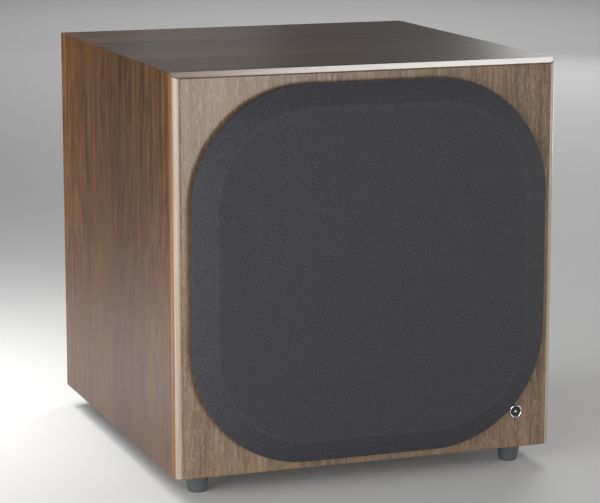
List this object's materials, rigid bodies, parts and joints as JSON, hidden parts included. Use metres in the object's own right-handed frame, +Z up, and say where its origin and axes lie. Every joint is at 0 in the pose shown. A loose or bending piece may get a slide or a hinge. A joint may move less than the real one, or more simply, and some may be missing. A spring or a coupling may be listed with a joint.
{
  "type": "powered subwoofer",
  "caption": "Cube-shaped powered subwoofer: walnut cabinet, bevelled cloth grille over a front driver, amplifier plate with controls at the back, tapered round feet.",
  "frame": {"origin": "on the floor, under the middle of the whole object's box", "axes": "+Z up, the grille and driver face -Y, the amplifier plate faces +Y, +X to the right seen from the front"},
  "size_m": [0.325, 0.361, 0.339],
  "materials": {
    "walnut": "satin walnut veneer wrap with fine straight grain",
    "fibreboard": "black-painted medium density fibreboard",
    "wadding": "loose white polyester wadding",
    "grille_cloth": "fine charcoal acoustic cloth, stretched",
    "black_plastic": "fine-textured black moulding",
    "black_rubber": "smooth black rubber",
    "chrome": "bright plated",
    "gloss_black": "polished black",
    "grey_plastic": "slate grey moulded plastic",
    "steel": "zinc-plated steel",
    "cast_metal": "die-cast aluminium, black powder coat",
    "cone_metal": "dark anodised, satin",
    "coil_former": "amber polyimide film",
    "copper": "enamelled copper winding",
    "spider_cloth": "resin-stiffened woven cloth",
    "ferrite": "ground ferrite",
    "amp_paint": "fine black powder coat",
    "circuit": "green solder mask on glass-fibre board",
    "bare_aluminium": "plain extruded aluminium",
    "white_insert": "white moulding",
    "red_insert": "red moulding",
    "blue_lens": "translucent blue lens"
  },
  "bodies": {
    "cabinet": {"left_side_panel": "walnut", "right_side_panel": "walnut", "top_panel": "walnut", "bottom_panel": "walnut", "front_baffle": "walnut", "rear_panel": "fibreboard", "window_brace": "fibreboard", "damping_wadding": "wadding", "phase_switch": "black_plastic", "eq_switch": "black_plastic", "auto_switch": "black_plastic", "power_switch": "black_plastic", "mains_inlet": "black_plastic", "trigger_jack": "black_plastic", "driver_terminal": "black_plastic", "speaker_lead": "black_plastic", "grille_cup_1": "black_rubber", "grille_cup_2": "black_rubber", "grille_cup_3": "black_rubber", "grille_cup_4": "black_rubber", "surround": "black_rubber", "trim_ring": "black_rubber", "amp_seal": "black_rubber", "badge_ring": "chrome", "badge_disc": "gloss_black", "foot_1": "grey_plastic", "foot_2": "grey_plastic", "foot_3": "grey_plastic", "foot_4": "grey_plastic", "foot_stud_1": "steel", "foot_stud_2": "steel", "foot_stud_3": "steel", "foot_stud_4": "steel", "top_plate": "steel", "pole_yoke": "steel", "basket": "cast_metal", "transformer": "copper", "spider": "spider_cloth", "magnet": "ferrite", "amp_plate": "amp_paint", "circuit_board": "circuit", "heat_sink": "bare_aluminium", "gain_pot": "bare_aluminium", "crossover_pot": "bare_aluminium", "line_socket_left": "white_insert", "line_socket_right": "red_insert", "status_light": "blue_lens"},
    "cone_assembly": {"cone": "cone_metal", "dust_cap": "cone_metal", "coil_former": "coil_former", "voice_coil": "copper"},
    "grille": {"grille_frame": "black_plastic", "grille_cloth": "grille_cloth"},
    "gain_control": {"gain_knob": "black_plastic"},
    "crossover_control": {"crossover_knob": "black_plastic"},
    "phase_control": {"phase_lever": "white_insert"},
    "eq_control": {"eq_lever": "white_insert"},
    "auto_control": {"auto_lever": "white_insert"},
    "power_control": {"power_rocker": "black_plastic"},
    "fuse_holder": {"fuse_drawer": "black_plastic"}
  },
  "joints": [
    {"name": "cone_slide", "type": "slide", "parent": "cabinet", "child": "cone_assembly", "axis": [0, -1, 0], "range_m": [-0.008, 0.008], "stiffness_N_per_m": 4000, "deforming": ["surround", "spider"]},
    {"name": "grille_pull", "type": "slide", "parent": "cabinet", "child": "grille", "axis": [0, -1, 0], "range_m": [0, 0.06]},
    {"name": "gain_turn", "type": "hinge", "parent": "cabinet", "child": "gain_control", "pos_m": [0.045, 0.1675, 0.2635], "axis": [0, 1, 0], "range_deg": [-140, 140]},
    {"name": "crossover_turn", "type": "hinge", "parent": "cabinet", "child": "crossover_control", "pos_m": [-0.045, 0.1675, 0.2635], "axis": [0, 1, 0], "range_deg": [-140, 140]},
    {"name": "phase_slide", "type": "slide", "parent": "cabinet", "child": "phase_control", "axis": [1, 0, 0], "range_m": [0, 0.004]},
    {"name": "eq_slide", "type": "slide", "parent": "cabinet", "child": "eq_control", "axis": [1, 0, 0], "range_m": [-0.003, 0.003]},
    {"name": "auto_slide", "type": "slide", "parent": "cabinet", "child": "auto_control", "axis": [1, 0, 0], "range_m": [0, 0.004]},
    {"name": "power_rock", "type": "hinge", "parent": "cabinet", "child": "power_control", "pos_m": [-0.048, 0.1651, 0.1425], "axis": [1, 0, 0], "range_deg": [0, 20]},
    {"name": "fuse_pull", "type": "slide", "parent": "cabinet", "child": "fuse_holder", "axis": [0, 1, 0], "range_m": [0, 0.015]}
  ]
}
